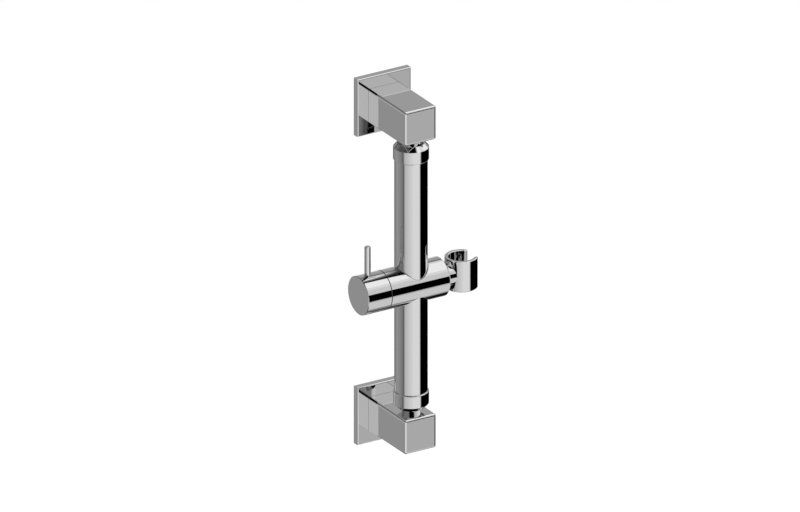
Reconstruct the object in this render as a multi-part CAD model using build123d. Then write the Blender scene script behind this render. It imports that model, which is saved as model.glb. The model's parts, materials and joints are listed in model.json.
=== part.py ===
"""A wall-mounted shower slide rail in polished brass.

Two square brackets hold a round bar clear of the wall. A round slider rides on the bar and turns about it.
A lever knob at the slider's left end clamps it, and a C-shaped holder for a hand shower turns at its right end.
The origin is the centre of the lower bracket's wall face: +Z is up, and the wall is the plane Y = 0 with the rail
on its -Y side. Sizes are in millimetres.
"""

from build123d import *
from math import cos, degrees, radians, sin
import os

# Brackets
bracket_spacing = 300.0  # between the centres of the two brackets
plate_side = 55.8
plate_thickness = 6.5
plate_edge_round = 1.1
plate_rim = 4.0  # solid rim round the pocket in the plate's back
arm_side = 33.0
arm_reach = 62.5  # from the plate's front to the arm's front
arm_edge_round = 2.0
base_thickness = 3.0  # hidden base that is screwed to the wall
post_radius = 10.0
post_length = 24.0
post_chamfer = 1.0
wall_screw_spacing = 34.0
wall_screw_hole_radius = 2.3
wall_screw_head_radius = 4.4
grub_radius = 2.5
grub_recess = 0.8  # how far the grub screw lies inside the arm's face
grub_socket = 2.5  # across the flats
grub_socket_depth = 2.2

# Bar and its ends
bar_radius = 15.0
bar_wall = 1.5
neck_radius = 8.65
neck_length = 4.9  # bare neck between the arm and the end cap
tenon_radius = 6.0
tenon_length = 12.0
stud_radius = 5.0
stud_length = 16.0
cap_wall = 1.1  # how far the cap stands out from the bar
cap_skirt = 12.0  # height of the cap's round side
cap_chamfer_height = 4.1
cap_chamfer_width = 3.6
cap_edge_round = 0.8  # on the cap's rim round the bar
plug_length = 16.0
seal_thickness = 1.8

# Slider
slider_radius = 18.2
slider_drop = 8.8  # how far the slider's axis lies below the middle of the rail
slider_left = 29.9  # from the bar's axis to the seam beside the knob
slider_right = 31.3  # from the bar's axis to the end beside the holder
slider_chamfer = 1.5
slider_bore_round = 0.5  # where the bar enters the slider
boss_radius = 12.0
boss_length = 10.0
boss_wall = 3.0
liner_thickness = 1.1
liner_height = 10.0
swivel_limit = 45.0  # degrees each way, where the shoe meets the liner's ends
liner_spare_angle = 2.0

# Clamp
knob_length = 24.2
knob_edge = 0.5
seam_width = 0.9
seam_recess = 0.9
clamp_screw_radius = 3.0
clamp_screw_grip = 8.5  # length of the screw held in the knob
shoe_radius = 5.0
shoe_length = 12.2
shoe_thread_depth = 9.0
shoe_travel = 0.5
clip_thickness = 0.7
clip_radius = 4.4
clip_groove_depth = 0.6
clip_mouth_angle = 30.0  # degrees each way
lever_radius = 2.85
lever_inset = 9.7  # from the knob's face to the lever's axis
lever_top = 45.8  # above the slider's axis
lever_seat = 13.0  # height of the lever's shoulder above the slider's axis
lever_stud_radius = 2.0
lever_stud_length = 4.5

# Hand shower holder
holder_offset = 52.3  # from the bar's axis to the holder's axis
holder_radius = 14.9
holder_bore_radius = 11.6  # at the top, from where the bore narrows as the hand shower's end does
holder_seat_radius = 10.8  # of the bore's straight lower part
holder_seat_length = 9.0
holder_height = 29.6
holder_slot = 16.0
holder_edge = 0.5
holder_slot_round = 0.9
holder_neck_radius = 10.6
washer_thickness = 0.6
pivot_radius = 3.0
pivot_grip = 10.0  # length of the pivot screw held in the slider
pivot_head_radius = 5.4
pivot_head_height = 3.6
pivot_head_recess = 0.8  # how far the head lies below the holder's bore
pivot_socket = 4.0  # across the flats
spring_washer_thickness = 1.0

# Clearances
running_fit = 0.05  # on the radius, where one piece turns or slides on another
seat_gap = 0.1  # between pieces that are fixed together
bore_gap = 0.3  # on the radius, between the bar and the slider's own bore
shoe_gap = 0.3  # between the shoe and the bar
liner_gap = 0.1  # at the liner's ends

# Places that follow from the sizes above
bar_y = -(plate_thickness + arm_reach - arm_side / 2)
slider_z = bracket_spacing / 2 - slider_drop
cap_top = arm_side / 2 + neck_length
cap_rim = cap_top + cap_chamfer_height
cap_seam = cap_rim + cap_skirt
bar_inner_radius = bar_radius - bar_wall
cap_radius = bar_radius + cap_wall
liner_radius = bar_radius + running_fit + liner_thickness
groove_radius = liner_radius + running_fit
boss_end = -slider_left - boss_length
knob_back = -slider_left - seam_width
knob_face = knob_back - knob_length
knob_floor = boss_end - seam_width
clip_place = boss_end + boss_wall + seat_gap
shoe_tip = -(bar_radius + shoe_gap)
shoe_end = shoe_tip - shoe_length
lever_x = knob_face + lever_inset
neck_start = slider_right + washer_thickness
bore_narrowing = (holder_bore_radius - holder_seat_radius) / (holder_height - holder_seat_length)
bore_middle_radius = holder_bore_radius - bore_narrowing * holder_height / 2
head_top = holder_offset - bore_middle_radius - pivot_head_recess
head_seat = head_top - pivot_head_height
counterbore_floor = head_seat - spring_washer_thickness
MIN = (Align.CENTER, Align.CENTER, Align.MIN)


def turned(*corners):
    """A solid turned about Z from its (radius, height) corners."""
    return revolve(Plane.XZ * make_face(Polyline(*corners, close=True)), Axis.Z)


def rod(radius, low, high):
    """A round bar on the Z axis between two heights."""
    return Pos(0, 0, low) * Cylinder(radius, high - low, align=MIN)


def ring(inner, outer, low, high):
    """A plain ring on the Z axis between two heights."""
    return rod(outer, low, high) - rod(inner, low, high)


def on_slider(part):
    """Lays a piece that was made along Z on the slider's axis, with its own zero at the bar's axis."""
    return Pos(0, bar_y, slider_z) * Rot(0, 90, 0) * part


def upright(part):
    """Stands a piece that was made on the Z axis at the bar, with its own zero at the slider's axis."""
    return Pos(0, bar_y, slider_z) * part


def towards_wall(part, y):
    """Turns a piece that was made along +Z to point away from the wall, with its own zero at a given Y."""
    return Pos(0, y, 0) * Rot(90, 0, 0) * part


def at_end(part, height, rail_side):
    """Places a piece of the lower bracket at either end: rail_side is 1 below the rail and -1 above it."""
    placed = part if rail_side > 0 else mirror(part, about=Plane.XY)
    return Pos(0, 0, height) * placed


def hexagon_socket(across_flats, low, high):
    """A hexagonal socket on the Z axis between two heights."""
    outline = RegularPolygon(across_flats / 2, 6, major_radius=False)
    return Pos(0, 0, low) * extrude(outline, high - low)


def flange():
    """Square cover plate with rounded front edges, a pocket for the base and a window for the arm."""
    plate = Pos(0, -plate_thickness / 2, 0) * Box(plate_side, plate_thickness, plate_side)
    front = plate.faces().sort_by(Axis.Y)[0]
    plate = fillet(front.edges(), plate_edge_round)
    pocket_side = plate_side - 2 * plate_rim
    pocket_depth = base_thickness + seat_gap
    pocket = Pos(0, -pocket_depth / 2, 0) * Box(pocket_side, pocket_depth, pocket_side)
    window_side = arm_side + 2 * seat_gap
    outline = RectangleRounded(window_side, window_side, arm_edge_round + seat_gap)
    window = towards_wall(extrude(outline, plate_thickness), 0)
    return plate - pocket - window


def wall_base():
    """Hidden base with a round post, screwed to the wall through two countersunk holes."""
    side = plate_side - 2 * plate_rim - 2 * seat_gap
    base = extrude(RectangleRounded(side, side, arm_edge_round), base_thickness)
    post = rod(post_radius, 0, base_thickness + post_length)
    post = chamfer(post.faces().sort_by(Axis.Z)[-1].edges(), post_chamfer)
    sink = wall_screw_head_radius - wall_screw_hole_radius
    hole = turned(
        (0, 0),
        (wall_screw_hole_radius, 0),
        (wall_screw_hole_radius, base_thickness - sink),
        (wall_screw_head_radius, base_thickness),
        (0, base_thickness),
    )
    body = base + post
    for side_sign in (-1, 1):
        body -= Pos(0, side_sign * wall_screw_spacing / 2, 0) * hole
    return towards_wall(body, 0)


def grub_y():
    """Where the grub screw meets the post, halfway along it."""
    return -(base_thickness + post_length / 2)


def arm(rail_side):
    """Square arm with rounded edges, bored for the post, the spigot and the grub screw."""
    length = plate_thickness + arm_reach - base_thickness
    block = extrude(RectangleRounded(arm_side, arm_side, arm_edge_round), length)
    block = fillet(block.faces().sort_by(Axis.Z)[-1].edges(), arm_edge_round)
    block = towards_wall(block, -base_thickness)
    post_hole = rod(post_radius + seat_gap, 0, post_length + bore_gap)
    block -= towards_wall(post_hole, -base_thickness)
    block -= Pos(0, bar_y, 0) * rod(tenon_radius + seat_gap, arm_side / 2 - tenon_length - seat_gap, arm_side)
    grub_hole = rod(grub_radius + seat_gap, 0, arm_side)
    turn = Rot(180, 0, 0) if rail_side > 0 else Rot(0, 0, 0)
    return block - Pos(0, grub_y(), 0) * turn * grub_hole


def grub_screw(rail_side):
    """Set screw in the arm's underside that presses on the post."""
    tip = post_radius + seat_gap
    head = arm_side / 2 - grub_recess
    screw = turned((0, tip), (grub_radius / 2, tip), (grub_radius, tip + grub_radius / 2), (grub_radius, head), (0, head))
    screw -= hexagon_socket(grub_socket, head - grub_socket_depth, head)
    turn = Rot(180, 0, 0) if rail_side > 0 else Rot(0, 0, 0)
    return Pos(0, grub_y(), 0) * turn * screw


def spigot():
    """Turned neck between the arm and the end cap, with a tenon in the arm and a stud in the bar's plug."""
    face = arm_side / 2
    neck = turned(
        (0, face - tenon_length),
        (tenon_radius, face - tenon_length),
        (tenon_radius, face),
        (neck_radius, face),
        (neck_radius, cap_top),
        (stud_radius, cap_top),
        (stud_radius, cap_top + stud_length),
        (0, cap_top + stud_length),
    )
    return Pos(0, bar_y, 0) * neck


def end_cap():
    """Turned cap over the bar's end, chamfered towards the neck."""
    outer = turned(
        (stud_radius + seat_gap, cap_top),
        (cap_radius - cap_chamfer_width, cap_top),
        (cap_radius, cap_rim),
        (cap_radius, cap_seam),
        (bar_radius + seat_gap, cap_seam),
        (bar_radius + seat_gap, cap_rim),
        (stud_radius + seat_gap, cap_rim),
    )
    rim = outer.edges().filter_by(GeomType.CIRCLE).sort_by(Axis.Z)[-2:]
    outer = fillet(rim.sort_by(lambda edge: edge.radius)[-1], cap_edge_round)
    return Pos(0, bar_y, 0) * outer


def seal_place():
    """Height of the seal's middle on the plug."""
    return cap_rim + plug_length / 2


def tube_plug():
    """Threaded plug fixed inside the bar's end, with a groove for its seal."""
    outer = bar_inner_radius - seat_gap
    plug = ring(stud_radius + seat_gap, outer, cap_rim, cap_rim + plug_length)
    low = seal_place() - seal_thickness / 2 - seat_gap
    high = seal_place() + seal_thickness / 2 + seat_gap
    groove = ring(bar_inner_radius - seal_thickness - seat_gap, bar_radius, low, high)
    return Pos(0, bar_y, 0) * (plug - groove)


def plug_seal():
    """Rubber ring between the plug and the bar."""
    minor = seal_thickness / 2
    return Pos(0, bar_y, seal_place()) * Torus(bar_inner_radius - minor, minor)


def bar_tube():
    """Round tube between the two end caps."""
    low = cap_rim + seat_gap
    return Pos(0, bar_y, 0) * ring(bar_inner_radius, bar_radius, low, bracket_spacing - low)


def glide_liner():
    """Open ring inside the slider that glides on the bar and leaves room for the shoe to swing."""
    opening = swivel_limit + liner_spare_angle + degrees(shoe_radius / bar_radius)
    liner = ring(bar_radius + running_fit, liner_radius, -liner_height / 2, liner_height / 2)
    reach = 2 * liner_radius
    corners = [(0, 0)]
    for angle in (180 - opening, 180, 180 + opening):
        corners.append((reach * cos(radians(angle)), reach * sin(radians(angle))))
    wedge = extrude(make_face(Polyline(*corners, close=True)), liner_height)
    return upright(liner - Pos(0, 0, -liner_height / 2) * wedge)


def at_bore_mouth(edge, bore_radius):
    """Whether an edge lies where the slider's round side meets its bore."""
    for share in (0.1, 0.5, 0.9):
        point = edge @ share
        across = Vector(point.X, point.Y - bar_y, 0).length
        from_axis = Vector(0, point.Y - bar_y, point.Z - slider_z).length
        if abs(across - bore_radius) > 0.01 or abs(from_axis - slider_radius) > 0.01:
            return False
    return True


def slider_body():
    """Round slider, cross-bored for the bar, with a boss in the knob and a guide hole for the shoe."""
    body = turned(
        (0, boss_end),
        (boss_radius, boss_end),
        (boss_radius, -slider_left),
        (slider_radius, -slider_left),
        (slider_radius, slider_right - slider_chamfer),
        (slider_radius - slider_chamfer, slider_right),
        (0, slider_right),
    )
    body -= rod(clamp_screw_radius + seat_gap, boss_end, 0)
    body -= rod(shoe_radius + running_fit, boss_end + boss_wall, 0)
    body -= rod(pivot_radius, slider_right - pivot_grip, slider_right)
    body = on_slider(body)
    bore_radius = bar_radius + bore_gap
    body -= upright(rod(bore_radius, -slider_radius, slider_radius))
    mouths = body.edges().filter_by(lambda edge: at_bore_mouth(edge, bore_radius))
    body = fillet(mouths, slider_bore_round)
    groove_half = liner_height / 2 + liner_gap
    return body - upright(rod(groove_radius, -groove_half, groove_half))


def seam_washer():
    """Thin ring in the seam between the slider and the knob."""
    outer = slider_radius - seam_recess
    return on_slider(ring(boss_radius + seat_gap, outer, knob_back, -slider_left))


def knob():
    """Round knob that turns on the slider's boss, drilled for the clamp screw and the lever."""
    body = turned(
        (0, knob_face),
        (slider_radius - knob_edge, knob_face),
        (slider_radius, knob_face + knob_edge),
        (slider_radius, knob_back),
        (boss_radius + running_fit, knob_back),
        (boss_radius + running_fit, knob_floor),
        (clamp_screw_radius, knob_floor),
        (clamp_screw_radius, knob_floor - clamp_screw_grip),
        (0, knob_floor - clamp_screw_grip),
    )
    seat = rod(lever_radius + seat_gap, lever_seat, slider_radius)
    stud_hole = rod(lever_stud_radius + seat_gap, lever_seat - lever_stud_length, slider_radius)
    return on_slider(body) - Pos(lever_x, 0, 0) * upright(seat + stud_hole)


def clamp_screw():
    """Coarse screw fixed in the knob, which draws the shoe along when the knob turns."""
    waist = clamp_screw_radius - clip_groove_depth
    tip = shoe_end + shoe_thread_depth - 2 * shoe_travel
    screw = turned(
        (0, knob_floor - clamp_screw_grip),
        (clamp_screw_radius, knob_floor - clamp_screw_grip),
        (clamp_screw_radius, clip_place),
        (waist, clip_place),
        (waist, clip_place + clip_thickness),
        (clamp_screw_radius, clip_place + clip_thickness),
        (clamp_screw_radius, tip),
        (0, tip),
    )
    return on_slider(screw)


def screw_clip():
    """Open spring clip in the clamp screw's groove, behind the boss's wall."""
    inner = clamp_screw_radius - clip_groove_depth
    clip = ring(inner, clip_radius, clip_place, clip_place + clip_thickness)
    width = 2 * inner * cos(radians(clip_mouth_angle))
    mouth = Box(clip_radius, width, clip_thickness, align=(Align.MIN, Align.CENTER, Align.MIN))
    return on_slider(clip - Pos(0, 0, clip_place) * mouth)


def clamp_shoe():
    """Sliding shoe with a hollow end that fits the bar and a threaded hole for the clamp screw."""
    shoe = rod(shoe_radius, shoe_end, 0)
    shoe -= rod(clamp_screw_radius + running_fit, shoe_end, shoe_end + shoe_thread_depth)
    return on_slider(shoe) - upright(rod(bar_radius + shoe_gap, -slider_radius, slider_radius))


def lever_pin():
    """Round lever that stands on the knob, with a thinner threaded stud."""
    low = lever_seat - lever_stud_length + seat_gap
    pin = turned(
        (0, low),
        (lever_stud_radius, low),
        (lever_stud_radius, lever_seat),
        (lever_radius, lever_seat),
        (lever_radius, lever_top - knob_edge),
        (lever_radius - knob_edge, lever_top),
        (0, lever_top),
    )
    return Pos(lever_x, 0, 0) * upright(pin)


def hand_shower_holder():
    """C-shaped clip with its neck, open on the far side for the hose, its bore narrowing downwards."""
    top = holder_height / 2
    seat_end = holder_seat_length - top
    bore = turned(
        (0, -top),
        (holder_seat_radius, -top),
        (holder_seat_radius, seat_end),
        (holder_bore_radius, top),
        (0, top),
    )
    clip = rod(holder_radius, -top, top) - bore
    clip -= Box(holder_radius, holder_slot, holder_height, align=(Align.MIN, Align.CENTER, Align.CENTER))
    mouth = clip.edges().filter_by(lambda edge: edge.bounding_box().size.Z > holder_seat_length / 2)
    clip = fillet(mouth, holder_slot_round)
    ends = clip.faces().sort_by(Axis.Z)
    clip = chamfer(ends[0].edges() + ends[-1].edges(), holder_edge)
    clip = Pos(holder_offset, 0, 0) * upright(clip)
    neck = on_slider(rod(holder_neck_radius, neck_start, holder_offset))
    neck -= Pos(holder_offset, 0, 0) * upright(bore)
    holder = clip + neck
    holder -= on_slider(rod(pivot_radius + running_fit, neck_start, holder_offset))
    return holder - on_slider(rod(pivot_head_radius + bore_gap, counterbore_floor, holder_offset))


def friction_washer():
    """Washer between the slider's end and the holder's neck."""
    inner = pivot_radius + seat_gap
    return on_slider(ring(inner, holder_neck_radius - seam_recess, slider_right, neck_start))


def spring_washer():
    """Wavy washer under the pivot screw's head, drawn flat as when it is tightened."""
    low = counterbore_floor + seat_gap
    return on_slider(ring(pivot_radius + seat_gap, pivot_head_radius, low, head_seat))


def pivot_screw():
    """Screw in the slider's end that the holder turns on."""
    tip = slider_right - pivot_grip
    screw = turned(
        (0, tip),
        (pivot_radius, tip),
        (pivot_radius, head_seat),
        (pivot_head_radius, head_seat),
        (pivot_head_radius, head_top),
        (0, head_top),
    )
    socket = hexagon_socket(pivot_socket, head_top - pivot_head_height / 2, head_top)
    return on_slider(screw - socket)


def all_parts():
    """Every piece by its node name."""
    parts = {
        "bar_tube": bar_tube(),
        "glide_liner": glide_liner(),
        "slider_body": slider_body(),
        "seam_washer": seam_washer(),
        "knob": knob(),
        "clamp_screw": clamp_screw(),
        "screw_clip": screw_clip(),
        "clamp_shoe": clamp_shoe(),
        "lever_pin": lever_pin(),
        "hand_shower_holder": hand_shower_holder(),
        "friction_washer": friction_washer(),
        "spring_washer": spring_washer(),
        "pivot_screw": pivot_screw(),
    }
    for end, height, rail_side in (("lower", 0, 1), ("upper", bracket_spacing, -1)):
        pieces = {
            "flange": flange(),
            "wall_base": wall_base(),
            "arm": arm(rail_side),
            "grub_screw": grub_screw(rail_side),
            "spigot": spigot(),
            "end_cap": end_cap(),
            "tube_plug": tube_plug(),
            "plug_seal": plug_seal(),
        }
        for name, piece in pieces.items():
            parts[f"{end}_{name}"] = at_end(piece, height, rail_side)
    return parts


os.makedirs("parts", exist_ok=True)
for node, solid in all_parts().items():
    export_step(solid, f"parts/{node}.step")
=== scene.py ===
# %% [markdown]
# # A shower slide rail in polished chrome
# The rail is a round tube between two square wall brackets. A slider with a clamp knob on its left
# and a hand shower holder on its right runs along it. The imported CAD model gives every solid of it.
# It could be modelled again here, but then two shapes of one part would have to be kept alike, so
# the solids are loaded as they are, and this file gives them their finishes, light and camera.

# %% Load the rail
import bpy
import bmesh
import json
import math
from mathutils import Matrix, Vector

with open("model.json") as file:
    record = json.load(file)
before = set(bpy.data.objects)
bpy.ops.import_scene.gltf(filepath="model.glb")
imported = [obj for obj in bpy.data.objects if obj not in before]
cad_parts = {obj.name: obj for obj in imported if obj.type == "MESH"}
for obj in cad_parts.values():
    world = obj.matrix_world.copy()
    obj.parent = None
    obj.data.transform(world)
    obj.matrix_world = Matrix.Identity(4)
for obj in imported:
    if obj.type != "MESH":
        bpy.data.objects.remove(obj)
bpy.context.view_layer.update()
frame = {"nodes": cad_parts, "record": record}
nodes = frame["nodes"]

# %% [markdown]
# ## The camera
# The photograph looks at the rail from its left and from above. Its parallel edges stay parallel,
# as through a very long lens, so the camera is orthographic. It could be turned with Euler angles,
# but three directions, to its viewer, its right and its top, are easier to check, and the light
# tent needs them again.

# %% Find the photograph's directions
VIEW_AZIMUTH = math.radians(-31.2)
VIEW_ELEVATION = math.radians(23.64)

to_viewer = Vector((math.sin(VIEW_AZIMUTH), -math.cos(VIEW_AZIMUTH), 0))
to_right = Vector((math.cos(VIEW_AZIMUTH), math.sin(VIEW_AZIMUTH), 0))
back = to_viewer * math.cos(VIEW_ELEVATION) + Vector((0, 0, math.sin(VIEW_ELEVATION)))
upwards = back.cross(to_right)
print("the camera looks along", [round(-v, 3) for v in back])

# %% [markdown]
# The camera could be shifted to frame the object, but it is simpler to aim it at the point that the
# middle of the picture shows. That point is a few pixels left of the rail's middle and above it.

# %% Place the camera
PICTURE_WIDTH = 800
PICTURE_PIXEL = 0.000892
PIXELS_LEFT = 11
PIXELS_ABOVE = 17.95
CAMERA_DISTANCE = 0.75

rail_middle = Vector((0, -0.0525, 0.150))
aim = rail_middle - to_right * PIXELS_LEFT * PICTURE_PIXEL + upwards * PIXELS_ABOVE * PICTURE_PIXEL

camera_data = bpy.data.cameras.new("camera")
camera_data.type = "ORTHO"
camera_data.ortho_scale = PICTURE_WIDTH * PICTURE_PIXEL
camera = bpy.data.objects.new("camera", camera_data)
axes = Matrix(((*to_right, 0), (*upwards, 0), (*back, 0), (0, 0, 0, 1))).transposed()
camera.matrix_world = Matrix.Translation(aim + back * CAMERA_DISTANCE) @ axes
bpy.context.collection.objects.link(camera)
bpy.context.scene.camera = camera
bpy.context.scene.view_settings.view_transform = "Standard"
print("camera at", [round(v, 3) for v in camera.matrix_world.translation])

# %% [markdown]
# ## The floor
# The photograph has a plain white ground with no edge and no shadow near the rail. A white picture
# behind the object could give that, but a real floor, far below it, holds in every other view too.
# The chrome doesn't mirror this floor, because its light tent has a cloth of its own down there.


# %% Make the floor
def new_piece(name, shape):
    """A mesh object whose place is in its mesh: shape is a function that fills the bmesh."""
    made = bmesh.new()
    shape(made)
    mesh = bpy.data.meshes.new(name)
    made.to_mesh(mesh)
    made.free()
    piece = bpy.data.objects.new(name, mesh)
    bpy.context.collection.objects.link(piece)
    return piece


FLOOR_LEVEL = -1.2
FLOOR_HALF_WIDTH = 8


def floor_plate(made):
    bmesh.ops.create_grid(made, x_segments=8, y_segments=8, size=FLOOR_HALF_WIDTH)
    bmesh.ops.translate(made, verts=made.verts, vec=(0, 0, FLOOR_LEVEL))


floor = new_piece("floor", floor_plate)
floor.visible_glossy = False

floor_paint = bpy.data.materials.new("floor_paint")
floor_paint.use_nodes = True
floor_shader = floor_paint.node_tree.nodes["Principled BSDF"]
floor_shader.inputs["Base Color"].default_value = (0.98, 0.98, 0.98, 1)
floor_shader.inputs["Roughness"].default_value = 0.9
floor.data.materials.append(floor_paint)

# %% [markdown]
# ## The plain light
# The room is white all round and as bright as white paint, and two soft lamps stand in front, the
# left one twice as strong. One hard sun could do it, but then one side of each plastic ring would
# go black. At this level a colour shows about as it is written.

# %% Whiten the room
world = bpy.data.worlds.new("white_room")
bpy.context.scene.world = world
world.use_nodes = True
room = world.node_tree.nodes["Background"]
room.inputs["Color"].default_value = (1, 1, 1, 1)
room.inputs["Strength"].default_value = 1
print("room as bright as", room.inputs["Strength"].default_value)

# %% [markdown]
# A lamp is placed and turned by one matrix: its Z axis points from the rail back to the lamp,
# because an area lamp shines along its own -Z. A Track To constraint would do the same, but the
# matrix leaves nothing live in the file.

# %% Set the two lamps
LAMP_WIDTH = 1.2


def soft_lamp(name, place, watts):
    """A square area lamp that lights the pieces and doesn't show in the chrome."""
    lamp_data = bpy.data.lights.new(name, "AREA")
    lamp_data.shape = "SQUARE"
    lamp_data.size = LAMP_WIDTH
    lamp_data.energy = watts
    lamp = bpy.data.objects.new(name, lamp_data)
    turn = (Vector(place) - rail_middle).to_track_quat("Z", "Y")
    lamp.matrix_world = Matrix.Translation(place) @ turn.to_matrix().to_4x4()
    lamp.visible_glossy = False
    lamp.visible_camera = False
    bpy.context.collection.objects.link(lamp)
    print(name, "of", watts, "W at", place)


soft_lamp("lamp_left", place=(-1.3, -1.6, 1.5), watts=12)
soft_lamp("lamp_right", place=(1.5, -1.2, 1.1), watts=6)

# %% [markdown]
# ## The light tent
# Polished chrome has hardly a colour of its own: what we see of it is the room. A photographer
# therefore puts it in a tent of white cloth with grey and black cards, and each card becomes a
# crisp band along the tube. The bands could be painted on the metal, but they would stay put when
# the rail turns, so the tent is built round it. Only reflections show it and it casts no light on
# the plastics: the camera looks through it, from every side, at the white floor and room.

# %% Choose the tones of the cards
BLACK = 0.0
CHARCOAL = 0.12
DARK = 0.25
SLATE = 0.35
GREY = 0.42
MIDDLE = 0.5
LIGHT = 0.6
PALE = 0.75
WHITE = 0.9
BRIGHT = 1.1
print("card tones from", BLACK, "to", BRIGHT)

# %% [markdown]
# Each card is a strip of a big ball round the rail, from one height to another. It could be cut
# out of a UV sphere, but two spins are simpler: one bends an upright line, the other sweeps it
# round. The ball is so big that two near points of the rail see the same place on it, as they do
# in a real room.

# %% Bend a card
TENT_RADIUS = 20
STEPS_UP = 24
STEPS_ROUND = 96
SAME_PLACE = 1e-6


def curved_card(low, high):
    """A strip right round the rail between two heights in degrees, seen from its middle."""

    def build(made):
        start = -to_viewer
        tilt = start.cross(Vector((0, 0, 1)))
        first = Matrix.Rotation(math.radians(low), 3, tilt) @ start * TENT_RADIUS
        bmesh.ops.create_vert(made, co=first)
        bmesh.ops.spin(
            made,
            geom=made.verts[:],
            cent=(0, 0, 0),
            axis=tilt,
            angle=math.radians(high - low),
            steps=STEPS_UP,
        )
        bmesh.ops.spin(
            made,
            geom=made.verts[:] + made.edges[:],
            cent=(0, 0, 0),
            axis=(0, 0, 1),
            angle=math.radians(360),
            steps=STEPS_ROUND,
            use_merge=True,
        )
        bmesh.ops.remove_doubles(made, verts=made.verts, dist=SAME_PLACE)
        bmesh.ops.translate(made, verts=made.verts, vec=rail_middle)

    return build


print("a card has", STEPS_UP * STEPS_ROUND, "faces and bends round", rail_middle[:])

# %% [markdown]
# A real card has one tone, and where two of them meet the cloth between them shades from one to
# the other. Many small cards could show that, but one strip whose tone changes with the turn round
# the rail is smoother. The turn is an arctangent of the place on the strip, 0 towards the camera.
# It comes from Object coordinates, so it stays in the room when the camera moves.


# %% Find the turn of a place on a card
def turn_share(tree):
    """The turn of the shaded point as a share of the round, 0.5 towards the photograph's side."""
    place = tree.nodes.new("ShaderNodeTexCoord")
    centred = tree.nodes.new("ShaderNodeMapping")
    centred.inputs["Location"].default_value = -rail_middle
    tree.links.new(place.outputs["Object"], centred.inputs["Vector"])
    turn = tree.nodes.new("ShaderNodeMath")
    turn.operation = "ARCTAN2"
    for side, direction in enumerate((to_right, to_viewer)):
        along = tree.nodes.new("ShaderNodeVectorMath")
        along.operation = "DOT_PRODUCT"
        along.inputs[1].default_value = direction
        tree.links.new(centred.outputs["Vector"], along.inputs[0])
        tree.links.new(along.outputs["Value"], turn.inputs[side])
    share = tree.nodes.new("ShaderNodeMapRange")
    share.inputs["From Min"].default_value = -math.pi
    share.inputs["From Max"].default_value = math.pi
    tree.links.new(turn.outputs["Value"], share.inputs["Value"])
    return share.outputs["Result"]


print("the turn is 0 towards", [round(v, 3) for v in to_viewer])

# %% [markdown]
# The cloth of a card glows evenly. It could be white cloth with lamps behind it, but that is slow
# to render and noisy, and a plain Emission shader is neither. A Color Ramp turns the share of the
# round into a grey, with one stop for each tone.


# %% Paint a card
def card_paint(name, tones):
    """A card's glowing cloth: tones are (degrees, grey) pairs, from -180 to 180."""
    paint = bpy.data.materials.new(name)
    paint.use_nodes = True
    tree = paint.node_tree
    tree.nodes.clear()
    greys = tree.nodes.new("ShaderNodeValToRGB")
    stops = greys.color_ramp.elements
    while len(stops) < len(tones):
        stops.new(0.5)
    for stop, (degrees, grey) in zip(stops, tones):
        stop.position = (degrees + 180) / 360
        stop.color = (grey, grey, grey, 1)
    tree.links.new(turn_share(tree), greys.inputs["Fac"])
    glow = tree.nodes.new("ShaderNodeEmission")
    tree.links.new(greys.outputs["Color"], glow.inputs["Color"])
    out = tree.nodes.new("ShaderNodeOutputMaterial")
    tree.links.new(glow.outputs["Emission"], out.inputs["Surface"])
    return paint


print("card cloth ready")

# %% [markdown]
# A card belongs to the stage, not to the rail. The camera, the matt pieces and the shadows leave it
# out, so it needs no hole for them, and only reflections find it.


# %% Hang a card
def hang_card(name, low, high, tones):
    """A card on the stage that shows in reflections only."""
    card = new_piece(name, curved_card(low, high))
    card.data.materials.append(card_paint(name + "_cloth", tones))
    card.visible_camera = False
    card.visible_diffuse = False
    card.visible_shadow = False
    print(name, "from", low, "to", high, "degrees,", len(tones), "tones")


# %% [markdown]
# The camera looks down, so every upright face mirrors one ring of the tent, 24 degrees below the
# rail's height: it makes the bands of the tube. The ring is dark behind, white in front, and black
# on the right, with a narrow grey card for the brackets' fronts. Below it hang the cards that the
# slider's underside mirrors.

# %% Hang the low cards
hang_card("tent_floor", -90, -42, [
    (-180, CHARCOAL), (-150, SLATE), (-110, SLATE), (-95, CHARCOAL), (-25, CHARCOAL), (-12, BLACK),
    (34, BLACK), (44, WHITE), (60, PALE), (95, PALE), (115, DARK), (130, BLACK), (155, BLACK),
    (180, CHARCOAL),
])
hang_card("tent_skirt", -42, -27, [
    (-180, CHARCOAL), (-120, SLATE), (-60, DARK), (-42, LIGHT), (0, PALE), (40, WHITE), (60, PALE),
    (72, PALE), (80, DARK), (130, DARK), (150, CHARCOAL),
])
hang_card("tent_low", -27, -22.2, [
    (-180, CHARCOAL), (-160, CHARCOAL), (-140, DARK), (-118, SLATE), (-100, SLATE), (-64, DARK),
    (-52, CHARCOAL), (-40, LIGHT), (-10, PALE), (20, WHITE), (60.6, WHITE), (62, MIDDLE),
    (65, MIDDLE), (69, BLACK), (168, BLACK), (180, CHARCOAL),
])

# %% [markdown]
# Two cards at the rail's height hold a black strip on the right. It is what the slider and the knob
# mirror as their black stripe. A narrow bright strip right behind lights up their top edges.

# %% Hang the level cards
hang_card("tent_horizon", -22.2, -2, [
    (-180, WHITE), (-176, WHITE), (-172, DARK), (-100, LIGHT), (-60, GREY), (-45, LIGHT),
    (34, PALE), (50, PALE), (54, BLACK), (172, BLACK), (176, WHITE),
])
hang_card("tent_brow", -2, 12, [
    (-180, LIGHT), (-165, GREY), (-100, GREY), (-60, SLATE), (-20, SLATE), (-12, BLACK), (4, BLACK),
    (14, MIDDLE), (50, MIDDLE), (54, BLACK), (68, BLACK), (76, SLATE), (120, MIDDLE), (150, GREY),
    (168, LIGHT),
])

# %% [markdown]
# The high cards show on what faces up: grey behind for the brackets' tops, and bright cloth on the
# right for the slider's upper side, with a darker line of cloth between the two.

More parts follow.
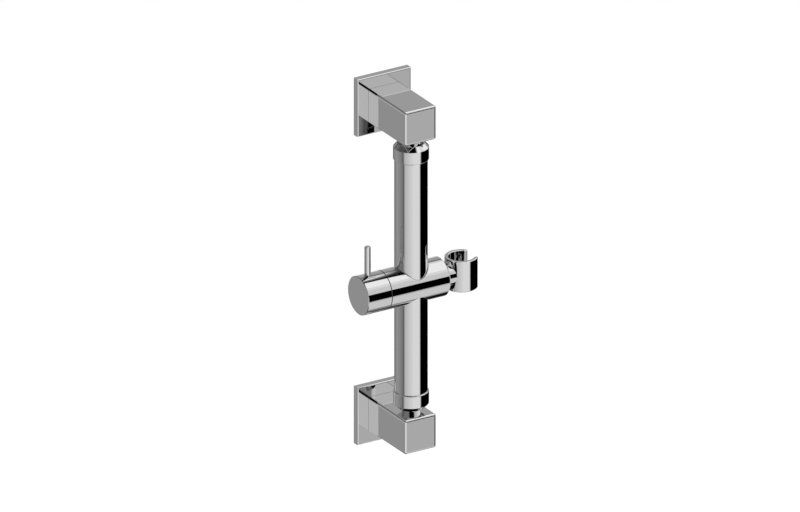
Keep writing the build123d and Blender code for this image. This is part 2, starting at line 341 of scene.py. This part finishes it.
# %% Hang the high cards
hang_card("tent_high", 12, 36, [
    (-180, GREY), (-160, GREY), (-145, DARK), (-98, CHARCOAL), (-84, DARK), (-30, DARK),
    (-14, BLACK), (34, BLACK), (46, PALE), (64, PALE), (90, BRIGHT), (130, BRIGHT), (150, GREY),
])
hang_card("tent_line", 36, 46, [
    (-180, DARK), (-140, DARK), (-110, CHARCOAL), (-20, BLACK), (44, BLACK), (55, WHITE),
    (130, WHITE), (150, DARK),
])
hang_card("tent_top", 46, 62, [
    (-180, LIGHT), (-100, GREY), (-80, CHARCOAL), (-20, BLACK), (44, BLACK), (60, BRIGHT),
    (150, BRIGHT), (165, PALE), (180, LIGHT),
])
hang_card("tent_roof", 62, 90, [
    (-180, LIGHT), (-40, MIDDLE), (60, BRIGHT), (150, BRIGHT), (180, LIGHT),
])

# %% [markdown]
# ## Two helpers for the finishes
# Every finish here varies a little over its surface: in haze, in tone or in height. A painted image
# could say where, but it would need a flat map of each solid. Noise on the object's own coordinates
# needs none, and it stays on the piece when the piece moves.


# %% Make a noise and a bump
def noise_at(tree, place, scale, detail):
    """A noise over the coordinates that place gives."""
    noise = tree.nodes.new("ShaderNodeTexNoise")
    noise.inputs["Scale"].default_value = scale
    noise.inputs["Detail"].default_value = detail
    tree.links.new(place, noise.inputs["Vector"])
    return noise.outputs["Fac"]


def bump_by(tree, noise, height, shader):
    """Make the shader's surface rise by height, in metres, where the noise is light."""
    bump = tree.nodes.new("ShaderNodeBump")
    bump.inputs["Strength"].default_value = 1
    bump.inputs["Distance"].default_value = height
    tree.links.new(noise, bump.inputs["Height"])
    tree.links.new(bump.outputs["Normal"], shader.inputs["Normal"])


print("noise and bump ready")

# %% [markdown]
# ## The chrome
# The rail, brackets, slider, knob and holder are brass that is polished, nickelled and chromed. The
# plating could be a plain mirror, but a real one isn't flawless: the polishing wheel leaves a
# ripple far too low to see except where it bends a reflection, and a trace of haze.

# %% Mix the chrome
HAZE_SCALE = 60
HAZE_DETAIL = 3
RIPPLE_DETAIL = 2


def metal_paint(name, colour, roughness, haze, ripple_scale, ripple_height, stretch=(1, 1, 1)):
    """A metal whose roughness and height vary a little with two noises."""
    paint = bpy.data.materials.new(name)
    paint.use_nodes = True
    tree = paint.node_tree
    shader = tree.nodes["Principled BSDF"]
    shader.inputs["Base Color"].default_value = (*colour, 1)
    shader.inputs["Metallic"].default_value = 1
    place = tree.nodes.new("ShaderNodeTexCoord")
    grain = tree.nodes.new("ShaderNodeMapping")
    grain.inputs["Scale"].default_value = stretch
    tree.links.new(place.outputs["Object"], grain.inputs["Vector"])
    spread = tree.nodes.new("ShaderNodeMapRange")
    spread.inputs["To Min"].default_value = roughness
    spread.inputs["To Max"].default_value = roughness + haze
    cloud = noise_at(tree, grain.outputs["Vector"], HAZE_SCALE, HAZE_DETAIL)
    tree.links.new(cloud, spread.inputs["Value"])
    tree.links.new(spread.outputs["Result"], shader.inputs["Roughness"])
    ripple = noise_at(tree, grain.outputs["Vector"], ripple_scale, RIPPLE_DETAIL)
    bump_by(tree, ripple, ripple_height, shader)
    return paint


chrome = metal_paint(
    "polished_chrome",
    colour=(0.74, 0.74, 0.745),
    roughness=0.02,
    haze=0.02,
    ripple_scale=45,
    ripple_height=0.00001,
)
print("chrome mixed")

# %% [markdown]
# ## The inner metals
# Two more metals hide inside. The wall bases, screws, clip and spring are stainless steel, and the
# tube's plugs and the clamp's shoe are bare brass. They could share the chrome, but they show when
# a bracket or the knob is off, so each gets its own colour, more haze and fine tool marks. The
# marks are the ripple noise, squeezed along one axis.

# %% Mix the steel and the brass
steel = metal_paint(
    "stainless_steel",
    colour=(0.62, 0.61, 0.59),
    roughness=0.22,
    haze=0.12,
    ripple_scale=900,
    ripple_height=0.000004,
    stretch=(1, 1, 8),
)
brass = metal_paint(
    "turned_brass",
    colour=(0.80, 0.58, 0.27),
    roughness=0.2,
    haze=0.12,
    ripple_scale=900,
    ripple_height=0.000004,
    stretch=(8, 1, 1),
)
print("steel and brass mixed")

# %% [markdown]
# ## The plastics
# The slider's liner and two washers are moulded nylon, and the plugs' seals are rubber. One dark
# grey could serve for both, but a mould leaves clouds of two close tones and a fine matt grain,
# coarser and darker on the rubber.

# %% Mix the nylon and the rubber
CLOUD_SCALE = 90
CLOUD_DETAIL = 2
CLOUD_DARK_BELOW = 0.35
CLOUD_LIGHT_ABOVE = 0.65
GRAIN_DETAIL = 4


def moulded_paint(name, dark, light, roughness, grain_scale, grain_height):
    """A moulded plastic: two close tones in soft clouds and a fine matt grain."""
    paint = bpy.data.materials.new(name)
    paint.use_nodes = True
    tree = paint.node_tree
    shader = tree.nodes["Principled BSDF"]
    shader.inputs["Roughness"].default_value = roughness
    place = tree.nodes.new("ShaderNodeTexCoord").outputs["Object"]
    tones = tree.nodes.new("ShaderNodeValToRGB")
    first, last = tones.color_ramp.elements
    first.position = CLOUD_DARK_BELOW
    first.color = (*dark, 1)
    last.position = CLOUD_LIGHT_ABOVE
    last.color = (*light, 1)
    tree.links.new(noise_at(tree, place, CLOUD_SCALE, CLOUD_DETAIL), tones.inputs["Fac"])
    tree.links.new(tones.outputs["Color"], shader.inputs["Base Color"])
    bump_by(tree, noise_at(tree, place, grain_scale, GRAIN_DETAIL), grain_height, shader)
    return paint


nylon = moulded_paint(
    "nylon",
    dark=(0.05, 0.05, 0.055),
    light=(0.08, 0.08, 0.085),
    roughness=0.5,
    grain_scale=2500,
    grain_height=0.00002,
)
rubber = moulded_paint(
    "rubber",
    dark=(0.025, 0.025, 0.027),
    light=(0.04, 0.04, 0.042),
    roughness=0.75,
    grain_scale=1800,
    grain_height=0.00004,
)
print("nylon and rubber mixed")

# %% [markdown]
# ## Dress the solids
# The record names a slot of material for each solid. The finishes could be given piece by piece,
# but going by the slot keeps this file and the record in step.

# %% Give every solid its finish
finishes = {"chrome": chrome, "steel": steel, "brass": brass, "nylon": nylon, "rubber": rubber}
dressed = {}
for solid in frame["record"]["subparts"]:
    finish = solid["material_slot"]
    for place in nodes[solid["node"]].material_slots:
        place.material = finishes[finish]
    dressed.setdefault(finish, []).append(solid["node"])
for finish, names in dressed.items():
    print(finish, "on", ", ".join(names))
